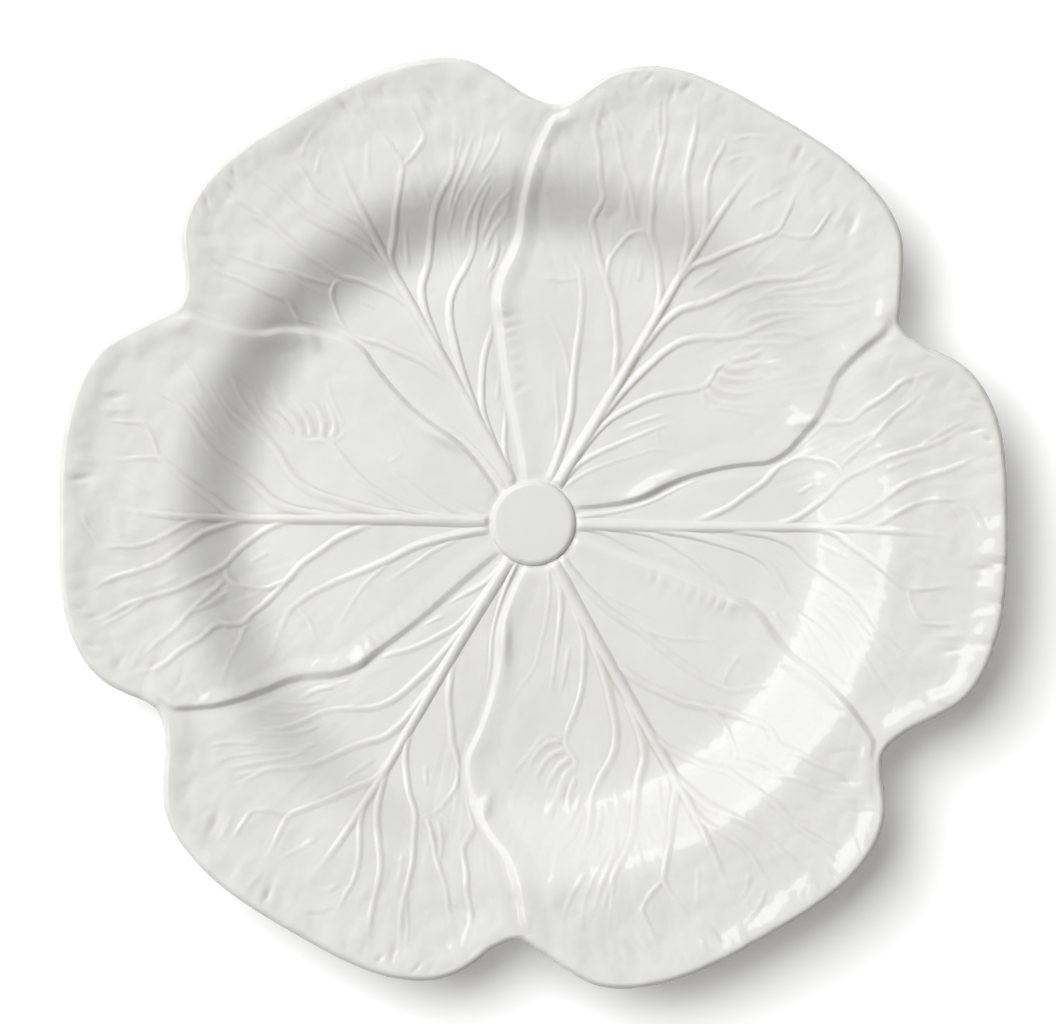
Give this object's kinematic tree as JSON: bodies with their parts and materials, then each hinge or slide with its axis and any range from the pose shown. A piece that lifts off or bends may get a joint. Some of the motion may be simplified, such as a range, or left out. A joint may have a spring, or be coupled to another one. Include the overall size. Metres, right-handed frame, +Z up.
{
  "type": "dinner plate",
  "caption": "Round glazed ceramic dinner plate moulded as overlapping cabbage leaves round a raised centre boss, with a shallow well, a scalloped rim and a foot ring.",
  "frame": {"origin": "middle of the plate, on the plane on which its foot ring stands", "axes": "+Z up through the centre boss; +X towards the tip of a lower leaf, across the widest measure of the rim"},
  "size_m": [0.267, 0.2618, 0.0271],
  "materials": {
    "glaze": "glossy clear glaze over warm white clay",
    "foot_clay": "bare fired clay, matt, wiped clean of glaze"
  },
  "bodies": {
    "root": {"upper_leaf_1": "glaze", "upper_leaf_2": "glaze", "upper_leaf_3": "glaze", "lower_leaf_1": "glaze", "lower_leaf_2": "glaze", "lower_leaf_3": "glaze", "centre_boss": "glaze", "foot_ring": "foot_clay"}
  },
  "joints": []
}
